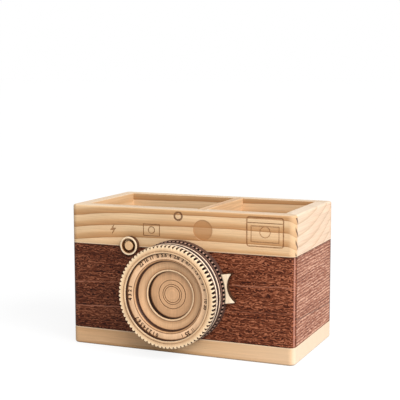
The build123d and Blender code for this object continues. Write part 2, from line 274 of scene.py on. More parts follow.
def corner_dashes(tree, place):
    """1 on the dark dashes of cut rings around the front pine corners and 0 elsewhere."""
    axes = split(tree, place)
    off = off_joint(tree, place)
    fallen = calc(tree, "MULTIPLY_ADD", off, dash_fall, axes[2])
    below = calc(tree, "SUBTRACT", dash_top, fallen)
    beat = calc(tree, "FRACT", calc(tree, "DIVIDE", below, dash_spacing))
    dash = product(tree, rescale(tree, beat, 0.00, 0.06), rescale(tree, beat, 0.30, 0.40, 1.0, 0.0))
    near = product(tree, rescale(tree, off, -3.2, -2.0), rescale(tree, off, 0.8, 1.8, 1.0, 0.0))
    on_rail = between(tree, axes[2], seam_z, rim_z - rim_edge)
    outside = calc(tree, "GREATER_THAN", calc(tree, "ABSOLUTE", axes[0]), half_width - dash_corner)
    in_front = calc(tree, "LESS_THAN", axes[1], 0.0)
    return product(tree, dash, near, on_rail, outside, in_front)


print("corner dashes every", dash_spacing, "mm, joint lean", round(joint_lean, 3))

# %% Joint and seam patterns
def joint_line(tree, place):
    """1 on the thin broken line of a corner joint and 0 elsewhere."""
    off = calc(tree, "ABSOLUTE", off_joint(tree, place))
    close = rescale(tree, off, 0.10, 0.40, 1.0, 0.0)
    broken = rescale(tree, fibre_noise(tree, place, (6.0, 6.0, 2.6)), 0.38, 0.58)
    return product(tree, close, calc(tree, "MULTIPLY_ADD", broken, 0.75, 0.25))


def seam_shade(tree, place, low, high, reach, depth):
    """A number below 1 close to the lower and upper edge of a board, and 1 elsewhere."""
    height = split(tree, place)[2]
    from_low = calc(tree, "SUBTRACT", height, low)
    from_high = calc(tree, "SUBTRACT", high, height)
    return rescale(tree, calc(tree, "MINIMUM", from_low, from_high), 0.1, reach, 1.0 - depth, 1.0)


print("seams at", round(base_z, 2), "and", round(seam_z, 2), "mm")

# %% [markdown]
# ## Pine
# Pine shows its growth rings as bands: pale early wood that slowly turns into a tan line of late wood
# and then ends sharply. Blender's wave texture could draw rings, but not with one soft and one sharp
# side. A saw-tooth of the distance from the heart of the tree gives exactly that, on every face of the
# board at once. No trunk is perfectly straight, so the bands may also sweep up or down towards one end.
# Long fibres, small resin flecks and soft blotches come on top.

# %% Growth rings
def ring_tooth(tree, place, grain, period, phase, sweeps, wobble):
    """A saw-tooth from 0 to 1 across each growth ring around a heart line along the grain's X axis."""
    rings = off_line(tree, grain, (0.0, 1.0, 1.0))
    rings = calc(tree, "ADD", rings, wander(tree, grain, (85.0, 16.0, 16.0), wobble))
    rings = calc(tree, "ADD", rings, wander(tree, grain, (22.0, 3.0, 3.0), 0.45))
    for direction, start, curve in sweeps:
        along = add_node(tree, "VectorMath", {0: place, 1: direction}, operation="DOT_PRODUCT").outputs[1]
        past = calc(tree, "MAXIMUM", calc(tree, "SUBTRACT", along, start), 0.0)
        rings = calc(tree, "MULTIPLY_ADD", product(tree, past, past), curve, rings)
    return calc(tree, "FRACT", calc(tree, "ADD", calc(tree, "DIVIDE", rings, period), phase))


print("recipe step ring_tooth: distance from the heart, two bends, sweeps")

# %% Pine recipe
no_edges = (-99.0, 299.0)


def pine_wood(name, turn, shift, rings, stops, sweeps=(), wobble=1.6, edges=no_edges, extras=()):
    """Pine with growth rings, fibres and flecks. The extra steps change its colour in places."""
    finish, tree, shader = new_finish(name)
    place = place_in_mm(tree)
    grain = place_in_mm(tree, turn, shift)
    colour = ramp(tree, ring_tooth(tree, place, grain, *rings, sweeps, wobble), stops)

    threads = fibre_noise(tree, grain, (26.0, 0.55, 0.55), 4.0, 0.6)
    colour = shade(tree, colour, spread(tree, threads, 0.91, 1.09))
    strands = fibre_noise(tree, grain, (38.0, 1.6, 1.6))
    colour = shade(tree, colour, spread(tree, strands, 0.955, 1.04))
    flecks = fibre_noise(tree, grain, (5.0, 0.24, 0.24))
    colour = shade(tree, colour, rescale(tree, flecks, 0.62, 0.74, 1.0, 0.86))
    blotch = rescale(tree, fibre_noise(tree, grain, (40.0, 18.0, 18.0)), 0.35, 0.7)
    redder = mix_colour(tree, 1.0, colour, (1.01, 0.955, 0.93, 1.0), "MULTIPLY")
    colour = mix_colour(tree, blotch, colour, redder)

    dashes = product(tree, corner_dashes(tree, place), 0.85)
    colour = mix_colour(tree, dashes, colour, tone(84, 58, 40))
    # painted highlight: the pine turns paler along its seams, where the small chamfers would catch the light
    highlighted = calc(tree, "SUBTRACT", 1.0, seam_shade(tree, place, *edges, 1.1, 0.6))
    colour = mix_colour(tree, highlighted, colour, tone(238, 214, 184))
    for step in extras:
        colour = step(tree, place, colour)
    dress(tree, shader, colour, spread(tree, threads, 0.60, 0.48))
    shader.inputs["Specular IOR Level"].default_value = 0.35
    raise_fibres(tree, shader, calc(tree, "MULTIPLY_ADD", flecks, 0.5, threads), 0.05, 0.35)
    return finish


print("recipe pine_wood: rings, threads, strands, flecks, blotches, dashes, rubbed seams")

# %% [markdown]
# ## Cut marks on the front rail
# The frame of the finder, the window, the index ring and the bolt are cut half a millimetre deep, and
# the cutter left their walls and floors brown. Only those surfaces lie just behind the front face and
# away from the rounded edges. They could be picked face by face, but their depth tells the finish where
# to scorch, and it still does when a mark moves. The index ring above the lens was burnt most. The
# finder was burnt less, and the fine lines inside it least. The bare round plate is a little shallower
# and only turns slightly darker.

# %% Scorched marks
mark_inset, seam_edge = 4.4, 0.4
cut_depths = (0.04, 0.6)
plate_depths = (0.385, 0.43)
index_reach = 5.0
finder_start = (40.0, 46.0)
finder_inside_x = (half_width - 29.6, half_width - 9.8)
finder_inside_z = (seam_z + 7.8, seam_z + 18.75)


def scorch_marks(tree, place, colour):
    """Browns what lies in the cut marks of the front rail."""
    axes = split(tree, place)
    depth = calc(tree, "SUBTRACT", axes[1], front_y)
    inside = calc(tree, "LESS_THAN", calc(tree, "ABSOLUTE", axes[0]), half_width - mark_inset)
    inside = product(tree, inside, between(tree, axes[2], seam_z + seam_edge, rim_z - rim_edge))
    shallow = between(tree, depth, cut_depths[0], plate_depths[0])
    deep = between(tree, depth, plate_depths[1], cut_depths[1])
    cut = calc(tree, "MAXIMUM", shallow, deep)
    plate = product(tree, inside, between(tree, depth, *plate_depths), 0.70)
    colour = mix_colour(tree, plate, colour, tone(172, 120, 72))

    uneven = spread(tree, fibre_noise(tree, place, (2.0, 2.0, 2.0)), 0.62, 0.95)
    finder = rescale(tree, axes[0], *finder_start, 1.0, 0.85)
    fine = product(tree, between(tree, axes[0], *finder_inside_x), between(tree, axes[2], *finder_inside_z))
    faint = calc(tree, "MULTIPLY_ADD", fine, -0.45, 1.0)
    index = between(tree, axes[0], lens_x - index_reach, lens_x + index_reach)
    burnt = mix_colour(tree, index, tone(142, 94, 50), tone(104, 64, 34))
    return mix_colour(tree, product(tree, inside, cut, uneven, finder, faint), colour, burnt)


print("cut marks scorched down to", cut_depths[1], "mm behind the front face")

# %% [markdown]
# ## Ends and foot of the base
# The base board runs from side to side, so its ends show end grain. The right end is much paler than the
# long faces, with hardly any pattern, and the board grows paler towards it: painted light from the lamp on
# the right. The lower edge is rounded and darkened with painted shade where it meets the desk. Painting by
# hand would do as well, but the direction of the surface and its height find both places and follow the
# rounded edges softly.

# %% End grain of the base
def painted_light_end(tree, place, colour):
    """Painted light: fades the board paler to the right, and most where its surface faces along the grain.
    """
    end = rescale(tree, facing_axes(tree)[0], 0.35, 0.95, 0.0, 0.68)
    brightened = rescale(tree, split(tree, place)[0], 0.0, half_width, 0.0, 0.6)
    colour = mix_colour(tree, brightened, colour, tone(220, 190, 156))
    return mix_colour(tree, end, colour, tone(231, 212, 187))


def painted_shade_foot(tree, place, colour):
    """Painted shade: darkens the rounded lower edge where it meets the desk."""
    return shade(tree, colour, rescale(tree, split(tree, place)[2], 0.3, 1.3, 0.55, 1.0))


print("base bleached from its middle to", round(half_width, 2), "mm")

# %% [markdown]
# ## Rim and front corners
# The top faces of the rim are a little paler than the sides, as painted light from above. The last
# millimetres before the front left corner are darkened with painted shade. Where the front rail rounds into
# its right corner, its rings are cut so flat that they fade, and only the dashes between them stay dark. The
# rim is found by the direction of its surface and the corners by their distance, so that no mask is painted.

# %% Rim and corner tones
rounded_from, rounded_to = 6.0, 1.8
corner_shade_start, corner_shade_reach = 0.5, 2.2


def painted_light_rim(tree, place, colour):
    """Painted light: fades surfaces that face upwards towards a paler tone."""
    upwards = rescale(tree, facing_axes(tree)[2], 0.5, 0.95, 0.0, 0.5)
    return mix_colour(tree, upwards, colour, tone(240, 221, 194))


def rounded_end(tree, place, colour):
    """Fades the rings where the rail begins to round into its right corner."""
    across = split(tree, place)[0]
    near = rescale(tree, across, half_width - rounded_from, half_width - rounded_to, 0.0, 0.58)
    off_dashes = calc(tree, "SUBTRACT", 1.0, corner_dashes(tree, place))
    return mix_colour(tree, product(tree, near, off_dashes), colour, tone(204, 168, 128))


def painted_shade_corner(tree, place, colour):
    """Painted shade: darkens the last millimetres before the front left corner."""
    axes = split(tree, place)
    from_left = calc(tree, "ADD", axes[0], half_width)
    from_front = calc(tree, "SUBTRACT", axes[1], front_y)
    away = calc(tree, "MULTIPLY_ADD", from_front, 0.3, from_left)
    return shade(tree, colour, rescale(tree, away, corner_shade_start, corner_shade_reach, 0.36, 1.0))


print("corner tones", rounded_from, "mm from the right corner and", corner_shade_reach, "mm from the left one")

# %% [markdown]
# ## Which pine goes where
# No two boards come from the same place in a tree. One material for all would be shorter, but then the
# bands would run on from board to board. Each board gets its own heart line and ring width: the front
# and rear rails have broad warm bands, the right one pale and close ones, paler partly as painted light
# from the lamp on its side, and the rest are softer. A sweep gives a direction, where along it the bands
# begin to bend, and how strongly.

# %% Pine tones
warm_stops = shades(
    (0.00, 224, 191, 150), (0.42, 216, 180, 137), (0.58, 198, 156, 110),
    (0.88, 181, 135, 88), (0.97, 163, 116, 72), (1.00, 224, 191, 150),
)
# partly painted light: the right rail's tones are paler for the lamp on its side
pale_and_lit_stops = shades(
    (0.00, 228, 200, 174), (0.55, 226, 197, 170), (0.80, 221, 191, 162),
    (0.92, 206, 176, 144), (0.97, 206, 176, 144), (1.00, 228, 200, 174),
)
soft_stops = shades(
    (0.00, 218, 179, 136), (0.50, 214, 174, 130), (0.90, 201, 158, 112), (1.00, 218, 179, 136),
)
print("pine tones:", len(warm_stops), "warm,", len(pale_and_lit_stops), "pale,", len(soft_stops), "soft")

# %% Pine boards
rail_edges = (seam_z, no_edges[1])
base_edges = (no_edges[0], base_z)
front_sweeps = [((-1, 0, 0), 25.0, -0.0015), ((1, 0, 0), 73.6, -0.12)]
right_sweeps = [((0, 1, 0), -36.0, 0.0030)]
left_sweeps = [((0, -1, 0), -10.0, 0.0018)]
along_x, along_y = (0, 0, 0), (0, 0, -90)
front_steps = (scorch_marks, painted_light_rim, rounded_end, painted_shade_corner)
base_steps = (painted_light_end, painted_shade_foot, painted_shade_corner)
paint(pine_wood("pine_front_rail", along_x, (20, 70, -190), (7.9, 0.025), warm_stops, front_sweeps,
                edges=rail_edges, extras=front_steps), "front_rail")
paint(pine_wood("pine_rear_rail", (0, 1.1, 0), (-40, -60, -165), (9.0, 0.2), warm_stops,
                edges=rail_edges, extras=(painted_light_rim,)), "rear_rail")
paint(pine_wood("pine_right_rail", along_y, (10, 60, -180), (7.2, 0.06), pale_and_lit_stops, right_sweeps, 1.0,
                edges=rail_edges, extras=(painted_light_rim,)), "right_rail")
paint(pine_wood("pine_left_rail", along_y, (30, -75, -170), (8.5, 0.4), soft_stops, left_sweeps,
                edges=rail_edges, extras=(painted_light_rim,)), "left_rail")
paint(pine_wood("pine_base", (0, 0.6, 0), (-15, 90, 60), (8.0, 0.1), soft_stops,
                edges=base_edges, extras=base_steps), "base_board")
paint(pine_wood("pine_divider", (0, 1.0, -90), (0, 130, -40), (6.5, 0.3), soft_stops), "divider")

# %% [markdown]
# ## Dark hardwood band
# The dark boards have fine wavy lines and small open pores instead of clear rings. Noise alone would
# look like fur, so the lines come from a sine across the grain, bent by slow and quick noises. Stretched
# noise breaks them up, and a thinner noise above a threshold gives the pores, which are darker and
# slightly sunk into the surface. A board may also grow darker towards one side and lighter towards the
# other, as painted light from the lamp on the lighter side.

# %% Dark wood recipe
line_spread = (0.24, 0.46)


def dark_wood(name, turn, shift, stops, waves, period=1.75, line_depth=0.11, pore_shade=0.6,
              fade=None, extras=()):
    """Red-brown hardwood with wavy lines and open pores along the turned X axis."""
    finish, tree, shader = new_finish(name)
    place = place_in_mm(tree)
    grain = place_in_mm(tree, turn, shift)

    axes = split(tree, grain)
    across = calc(tree, "MULTIPLY_ADD", axes[1], 0.35, axes[2])
    for lengths, reach in waves:
        across = calc(tree, "ADD", across, wander(tree, grain, lengths, reach))
    lines = calc(tree, "SINE", calc(tree, "MULTIPLY", across, 2 * pi / period))
    broken = rescale(tree, fibre_noise(tree, grain, (3.2, 1.3, 1.3)), 0.35, 0.65, 0.3, 1.0)
    lines = product(tree, lines, broken)
    streaks = fibre_noise(tree, grain, (4.5, 0.75, 0.75), 3.0, 0.6)
    threads = fibre_noise(tree, grain, (45.0, 0.5, 0.5), 3.0, 0.6)
    ribbon = fibre_noise(tree, grain, (60.0, 10.0, 10.0))
    mixed = calc(tree, "MULTIPLY_ADD", streaks, 0.32, product(tree, threads, 0.25))
    mixed = calc(tree, "MULTIPLY_ADD", ribbon, 0.15, mixed)
    mixed = calc(tree, "MULTIPLY_ADD", lines, line_depth, mixed)
    colour = ramp(tree, mixed, stops, *line_spread)

    pores = rescale(tree, fibre_noise(tree, grain, (2.6, 0.34, 0.34)), 0.58, 0.68)
    colour = shade(tree, colour, calc(tree, "MULTIPLY_ADD", pores, pore_shade - 1.0, 1.0))
    # painted light: fade makes the board darker on one side and lighter towards the lamp
    if fade:
        colour = shade(tree, colour, rescale(tree, split(tree, place)[0], *fade))
    for step in extras:
        colour = step(tree, place, colour)
    colour = mix_colour(tree, product(tree, joint_line(tree, place), 0.7), colour, tone(46, 22, 18))
    # painted shade: the dark boards turn darker along their seams, where the small chamfers would lie in
    # shadow
    colour = shade(tree, colour, seam_shade(tree, place, base_z, seam_z, 1.0, 0.55))
    dress(tree, shader, colour, spread(tree, streaks, 0.60, 0.46))
    shader.inputs["Specular IOR Level"].default_value = 0.12
    raise_fibres(tree, shader, calc(tree, "SUBTRACT", product(tree, lines, 0.3), pores), 0.08, 0.4)
    return finish


print("recipe dark_wood: lines, streaks, threads, ribbons, pores, joint lines, dark seams")

# %% [markdown]
# ## Corner highlight and veins
# The dark front board gets a painted highlight along a thin strip where it rounds into the right corner.
# Two pale veins run through it from side to side. On the right board one darker vein runs nearly level
# through the lower third, and painted shade darkens the board along its rear edge. A noise above a
# threshold would give blots, so a vein is a height that a noise bends, with the colour changed close to it.

# %% Marks on the dark boards
highlight_inset = 0.72
pale_levels, pale_rise = (29.9, 46.2), 0.048
dark_level, dark_fall = 26.6, 0.055


def painted_corner_highlight(tree, place, colour):
    """A painted highlight: a thin pale strip on the rounded right edge."""
    across = split(tree, place)[0]
    strip = apart(tree, across, half_width - highlight_inset)
    return mix_colour(tree, rescale(tree, strip, 0.15, 0.50, 0.62, 0.0), colour, tone(196, 140, 122))


def pale_veins(tree, place, colour):
    """Two thin pale veins that rise slightly to the right, broken here and there."""
    axes = split(tree, place)
    bend = wander(tree, place, (14.0, 14.0, 14.0), 1.5)
    height = calc(tree, "ADD", calc(tree, "MULTIPLY_ADD", axes[0], -pale_rise, axes[2]), bend)
    broken = rescale(tree, fibre_noise(tree, place, (16.0, 9.0, 3.0)), 0.38, 0.58, 0.15, 0.6)
    for level in pale_levels:
        off = apart(tree, height, level)
        share = product(tree, rescale(tree, off, 0.1, 0.6, 1.0, 0.0), broken)
        colour = mix_colour(tree, share, colour, tone(176, 118, 94))
    return colour


def dark_vein_and_rear_shade(tree, place, colour):
    """One dark vein that falls slightly towards the rear, and painted shade along the rear edge."""
    axes = split(tree, place)
    height = calc(tree, "MULTIPLY_ADD", axes[1], dark_fall, axes[2])
    bend = wander(tree, place, (9.0, 9.0, 9.0), 0.8)
    off = apart(tree, calc(tree, "ADD", height, bend), dark_level)
    colour = shade(tree, colour, rescale(tree, off, 0.15, 0.8, 0.55, 1.0))
    # painted shade along the rear edge
    return shade(tree, colour, rescale(tree, axes[1], half_depth - 7.0, half_depth - 1.5, 1.0, 0.6))


print("pale veins at", pale_levels, "mm, dark vein at", dark_level, "mm")

# %% [markdown]
# ## Which dark board goes where
# The front, rear and left boards are deep red-brown, and the right one is rosier and quieter, and lighter
# partly as painted light from the lamp on its side. The lines of the two short boards are straighter. A
# wave is a noise that bends the lines: its lengths along and across the grain, and how far it pushes them.
# The front board also grows lighter from left to right, as painted light from the lamp on the right.

# %% Dark boards
def stops_between(low, high, *colours):
    """Evenly spaced ramp stops from one value to another."""
    step = (high - low) / (len(colours) - 1)
    return [(low + index * step, tone(*colour)) for index, colour in enumerate(colours)]


deep_stops = stops_between(*line_spread, (40, 11, 4), (76, 33, 16), (108, 55, 33), (156, 96, 68))
# partly painted light: the right band's tones are lighter for the lamp on its side
rosy_and_lit_stops = stops_between(*line_spread, (84, 36, 23), (137, 83, 61), (169, 115, 92), (218, 169, 143))
wavy = (((18.0, 7.0, 7.0), 2.4), ((4.2, 2.6, 2.6), 3.2), ((1.8, 1.0, 1.0), 0.8))
nearly_straight = (((40.0, 10.0, 10.0), 1.0), ((9.0, 3.0, 3.0), 0.9), ((4.0, 1.5, 1.5), 0.4))
# painted light: the front board is lighter towards the lamp on the right
painted_light_left_to_right = (-half_width, half_width, 0.82, 1.18)
paint(dark_wood("dark_front_band", (0, 0.6, 0), (13, 0, 40), deep_stops, wavy,
                fade=painted_light_left_to_right, extras=(pale_veins, painted_corner_highlight, painted_shade_corner)), "front_band")
paint(dark_wood("dark_rear_band", (0, -0.5, 0), (-70, 20, 110), deep_stops, wavy), "rear_band")
paint(dark_wood("dark_right_band", (0, 1.5, -90), (0, 30, 75), rosy_and_lit_stops, nearly_straight,
                period=1.9, line_depth=0.085, pore_shade=0.75, extras=(dark_vein_and_rear_shade,)), "right_band")
paint(dark_wood("dark_left_band", (0, -1.0, -90), (50, -30, 20), deep_stops, nearly_straight), "left_band")

# %% [markdown]
# ## Turned lens rings
# The rings of the lens are pine as well, cut and turned around the lens axis. Their faces show fine
# concentric tool lines, while the walls that the cutter followed are scorched dark brown. The walls are
# found by their direction: they run along the lens axis, so their normals have almost no part along Y.
# A turned piece is nearly the same all the way around, so its colours are written as ramps: along the
# radius for the faces, and along the radius or along the axis for the walls. The walls that face down on
# the barrel and the rear teeth get painted shade and are darker than the rest.

# %% Turned pine recipe
widest_radius, deepest_lens = 42.0, 22.0


def turned_pine(name, centre, face_stops, wall_stops, along_axis=False, burn=(0.25, 0.75),
                floor_from=None, rear=None, underside_shade=1.0):
    """Pine turned around an axis along Y, with tool lines on its faces and scorched walls."""
    finish, tree, shader = new_finish(name)
    place = place_in_mm(tree, (0, 0, 0), (-centre[0], -front_y, -centre[1]))
    radius = off_line(tree, place, (1.0, 0.0, 1.0))
    forward = calc(tree, "MULTIPLY", split(tree, place)[1], -1.0)

    around = add_node(tree, "CombineXYZ", {0: radius}).outputs[0]
    lines = fibre_noise(tree, around, (0.5, 1.0, 1.0), 3.0, 0.6)
    broad = fibre_noise(tree, around, (1.7, 1.0, 1.0), 1.0)
    threads = fibre_noise(tree, place, (0.6, 4.0, 14.0), 3.0, 0.55)
    blotch = fibre_noise(tree, place, (7.0, 9.0, 12.0))
    colour = ramp(tree, radius, face_stops, 0.0, widest_radius)
    if floor_from is not None:
        sunk = product(tree, calc(tree, "LESS_THAN", forward, floor_from), 0.8)
        colour = mix_colour(tree, sunk, colour, tone(132, 88, 52))
    layers = (blotch, 0.92, 1.06), (lines, 0.92, 1.08), (broad, 0.93, 1.05), (threads, 0.93, 1.06)
    for noise, low, high in layers:
        colour = shade(tree, colour, spread(tree, noise, low, high))

    if along_axis:
        walls = ramp(tree, forward, wall_stops, 0.0, deepest_lens)
    else:
        walls = ramp(tree, radius, wall_stops, 0.0, widest_radius)
    walls = shade(tree, walls, spread(tree, fibre_noise(tree, place, (1.6, 3.0, 1.6), 3.0), 0.82, 1.16))
    # painted shade: the walls darken towards their rear end
    if rear:
        walls = shade(tree, walls, rescale(tree, forward, *rear, 1.0))
    facing = facing_axes(tree)
    # painted shade: walls that face down are darkened
    walls = shade(tree, walls, rescale(tree, facing[2], -0.85, 0.0, underside_shade, 1.0))
    scorched = rescale(tree, calc(tree, "ABSOLUTE", facing[1]), *burn, 1.0, 0.0)
    dress(tree, shader, mix_colour(tree, scorched, colour, walls), spread(tree, lines, 0.58, 0.46))
    shader.inputs["Specular IOR Level"].default_value = 0.3
    raise_fibres(tree, shader, calc(tree, "MULTIPLY_ADD", threads, 0.6, lines), 0.05, 0.35)
    return finish


print("recipe turned_pine: faces by radius, walls by radius or by depth")

# %% [markdown]
# ## Front of the lens
# From the outside in: a toothed grip ring, a flat ring for the numbers, a sloping ring that ends in a
# raised lip, and the disc at the bottom. Every row below is a radius in millimetres and the colour
# there. Dark rows close together draw the thin burnt lines where one ring meets the next, while the dark
# rows at the foot of the lip and at the rim of the disc are painted shade. The gaps between the teeth are
# burnt, and their crowns are bare pine with painted shade towards the rear.

# %% Front rings
lens_centre = (lens_x, lens_z)
charred = (52, 27, 14)
grip_face = shades((28.2, 244, 216, 178), (28.9, 214, 172, 130), (29.9, 214, 172, 130),
                   (30.9, 230, 194, 152), (33.1, 248, 222, 184))
grip_walls = shades((28.5, *charred), (31.6, 20, 8, 4), (32.5, 34, 16, 9), (32.85, 150, 110, 76),
                    (33.05, 250, 226, 192))
# painted shade on the walls of the teeth towards their rear
paint(turned_pine("pine_grip_ring", lens_centre, grip_face, grip_walls,
                  rear=(17.7, 18.7, 0.2)), "front_tooth_ring")

number_face = shades(
    (22.25, 44, 22, 12), (22.75, 70, 40, 22), (23.0, 190, 145, 104), (23.35, 214, 170, 127),
    (23.65, 128, 84, 50), (23.9, 128, 84, 50), (24.15, 244, 201, 160), (25.25, 242, 198, 156),
    (27.3, 238, 192, 149), (27.7, 150, 104, 66), (28.2, 70, 40, 22),
)
number_walls = shades((22.0, *charred), (28.0, *charred))
paint(turned_pine("pine_number_ring", lens_centre, number_face, number_walls,
                  burn=(0.15, 0.40)), "number_ring")

# the dark row at 16.85 is a painted shadow line at the foot of the lip
step_face = shades(
    (15.45, 206, 164, 122), (16.15, 240, 210, 172), (16.55, 222, 182, 141),
    (16.85, 128, 84, 52), (17.25, 196, 150, 108), (18.45, 210, 166, 124),
    (20.05, 216, 172, 130), (21.75, 200, 154, 112), (22.05, 92, 56, 32),
)
step_walls = shades((15.3, 30, 14, 8), (22.0, *charred))
paint(turned_pine("pine_step_ring", lens_centre, step_face, step_walls, burn=(0.10, 0.35)), "step_ring")

disc_front = front_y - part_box("lens_disc")[0].y / MM
groove_floor = disc_front - 0.2
# the dark rows at 14.95 and 15.45 are painted shade where the lip shades the rim of the disc
disc_face = shades((0.0, 222, 174, 130), (9.0, 218, 170, 126), (14.45, 212, 163, 120), (14.95, 140, 96, 62),
                   (15.45, 40, 20, 11))
disc_walls = shades((0.0, 120, 78, 46), (15.3, *charred))
paint(turned_pine("pine_lens_disc", lens_centre, disc_face, disc_walls,
                  floor_from=groove_floor), "lens_disc")

# %% [markdown]
# ## Barrel and rear of the lens
# The barrel's colours change along its length: a brown plain band, then black grooves, scorched and
# darkened further with painted shade, with two beads between them whose pale crests are painted
# highlights, so its rows are depths in front of the box. The rear teeth have black gaps and light crowns.
# The ring behind them is nearly black with painted shade where it shows through the gaps, and its finger
# tab is bare pine with brown walls.

# %% Barrel and rear rings
barrel_face = shades((0.0, 60, 36, 26), (33.0, 60, 36, 26))
# painted highlights on the bead crests; painted shade in the grooves, beside the beads and on the neck
barrel_walls = shades(
    (6.5, 70, 46, 38), (7.2, 116, 85, 75), (8.2, 98, 71, 62), (8.8, 24, 12, 9),
    (9.2, 74, 49, 40), (9.6, 238, 210, 182), (10.6, 238, 210, 182), (11.0, 64, 40, 32),
    (11.5, 14, 6, 4), (13.6, 14, 6, 4), (14.05, 84, 58, 48), (14.45, 248, 224, 196),
    (15.45, 248, 224, 196), (15.85, 80, 54, 44), (16.3, 16, 8, 6), (17.6, 16, 8, 6),
)
paint(turned_pine("pine_barrel", lens_centre, barrel_face, barrel_walls, along_axis=True,
                  burn=(0.80, 0.98), underside_shade=0.4), "barrel")

tooth_face = shades((32.2, 26, 13, 9), (33.0, 74, 50, 40), (33.5, 168, 132, 112))
tooth_walls = shades((32.0, 12, 5, 3), (33.05, 28, 13, 9), (33.5, 190, 152, 130))
paint(turned_pine("pine_rear_teeth", lens_centre, tooth_face, tooth_walls, underside_shade=0.6), "rear_tooth_ring")

# the first two rows are painted shade where the ring shows through the gaps of the rear teeth
tab_face = shades((33.1, 14, 6, 4), (33.75, 36, 19, 13), (34.6, 246, 224, 192), (39.3, 250, 230, 202))
tab_walls = shades((33.6, 84, 58, 50), (34.2, 66, 41, 25), (41.0, 62, 38, 22))
paint(turned_pine("pine_tab_ring", lens_centre, tab_face, tab_walls), "tab_ring")

# %% [markdown]
# ## Button
# The round button at the upper left is a small collar with a plug in it. It was turned in the same way,
# so it takes the same recipe around its own axis, with a burnt groove between the two.

# %% Button finish
plug_low, plug_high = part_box("button_plug")
button_centre = ((plug_low.x + plug_high.x) / 2 / MM, (plug_low.z + plug_high.z) / 2 / MM)
button_face = shades((0.0, 220, 181, 137), (2.9, 214, 173, 128), (3.4, 176, 130, 86), (4.8, 180, 136, 92),
                     (5.2, 240, 211, 174), (6.0, 246, 222, 188), (6.2, 214, 176, 136))
button_walls = shades((3.4, 128, 86, 48), (4.8, 108, 68, 36), (5.5, 104, 70, 44), (6.2, 72, 44, 26))
paint(turned_pine("pine_button", button_centre, button_face, button_walls), "button_collar", "button_plug")

# %% [markdown]
# ## Numbers on the lens
# The number ring of a lens carries small burnt numbers all around, with their tops pointing outwards.
# A pattern in the ring's finish can't write digits, so each number is written as text, turned into a
# mesh and then stood on the ring's face at its clock angle. All of them together become one thin piece
# that turns with the lens.

# %% Number helpers
mark_thickness = 0.06
ring_middle = Vector((lens_x, number_face_y, lens_z)) * MM


def burn_number(shape, words, clock, radius, height):
    """Adds one flat number to a mesh, at a clock angle in degrees on the number ring."""
    letters = bpy.data.curves.new("letters", "FONT")
    letters.body = words
    letters.align_x = "CENTER"
    letters.align_y = "CENTER"
    letters.size = 1.42 * height * MM
    letters.offset = 0.05 * height * MM
    letters.extrude = mark_thickness / 2 * MM
    letters.resolution_u = 3
    holder = bpy.data.objects.new("letters", letters)
    written = bpy.data.meshes.new_from_object(holder)
    bpy.data.objects.remove(holder)
    outwards = Vector((sin(radians(clock)), 0.0, cos(radians(clock))))
    onwards = Vector((cos(radians(clock)), 0.0, -sin(radians(clock))))
    stand = Matrix((onwards, outwards, Vector((0.0, -1.0, 0.0)))).transposed().to_4x4()
    stand.translation = ring_middle + radius * MM * outwards
    written.transform(stand)
    shape.from_mesh(written)
    bpy.data.meshes.remove(written)
    bpy.data.curves.remove(letters)


def burn_row(shape, row, start, step, radius, height):
    """Adds a row of numbers, from one clock angle onwards in equal steps."""
    for index, words in enumerate(row):
        burn_number(shape, words, start + step * index, radius, height)


def burn_tick(shape, clock, radius, width, height):
    """Adds one short line that points outwards on the number ring."""
    bar = bmesh.ops.create_cube(shape, size=1.0)["verts"]
    bmesh.ops.scale(shape, vec=(width * MM, mark_thickness * MM, height * MM), verts=bar)
    bmesh.ops.translate(shape, vec=(0.0, 0.0, radius * MM), verts=bar)
    bmesh.ops.rotate(shape, cent=(0, 0, 0), matrix=Matrix.Rotation(radians(clock), 3, "Y"), verts=bar)
    bmesh.ops.translate(shape, vec=ring_middle, verts=bar)


print("numbers", mark_thickness, "mm thick, half of it above the ring")

# %% Mesh helpers
def finished_mesh(name, shape):
    """Turns a working shape into a finished mesh."""
    mesh = bpy.data.meshes.new(name)
    shape.to_mesh(mesh)
    shape.free()
    return mesh


def put_in_scene(name, data):
    """Makes an object from a mesh, a lamp or a camera and adds it to the scene."""
    made = bpy.data.objects.new(name, data)
    bpy.context.scene.collection.objects.link(made)
    return made


print("mesh helpers: finished_mesh, put_in_scene")

# %% Number mesh
upper_radius, lower_radius = 26.4, 26.3
shape = bmesh.new()
burn_row(shape, ("22", "16", "11", "8", "5.6", "4", "2.8", "2"), -43.0, 9.6, upper_radius, 2.3)
burn_row(shape, ("0.7", "1", "1.5", "2", "3", "5"), 33.0, 8.6, upper_radius, 1.9)
burn_row(shape, ("10", "20"), 91.0, 9.0, upper_radius, 2.2)
burn_number(shape, "35", 148.0, lower_radius, 2.6)
for clock in (137.0, 139.5, 157.0):
    burn_tick(shape, clock, lower_radius, 0.35, 2.2)
burn_row(shape, "01234567", 196.0, 5.4, lower_radius, 2.4)
burn_row(shape, "4321", 262.0, 6.0, lower_radius, 2.4)
number_mesh = finished_mesh("ring_numbers", shape)
print("numbers:", len(number_mesh.polygons), "faces")
ring_numbers = put_in_scene("ring_numbers", number_mesh)
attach(ring_numbers, "lens")

# %% [markdown]
# ## Burnt finish
# The numbers are pine that the cutter burnt nearly black. Burnt wood is matt and uneven, so one fine
# noise drives its colour, its roughness and a slight bump.

# %% Burnt numbers
def burnt_wood(name):
    """Wood burnt by the cutter, a little uneven."""
    finish, tree, shader = new_finish(name)
    cloud = fibre_noise(tree, place_in_mm(tree), (1.0, 1.0, 1.0), 3.0)
    colour = mix_colour(tree, rescale(tree, cloud, 0.35, 0.65), tone(40, 20, 10), tone(70, 40, 22))
    dress(tree, shader, colour, spread(tree, cloud, 0.78, 0.66))
    shader.inputs["Specular IOR Level"].default_value = 0.2
    raise_fibres(tree, shader, cloud, 0.03, 0.3)
    return finish


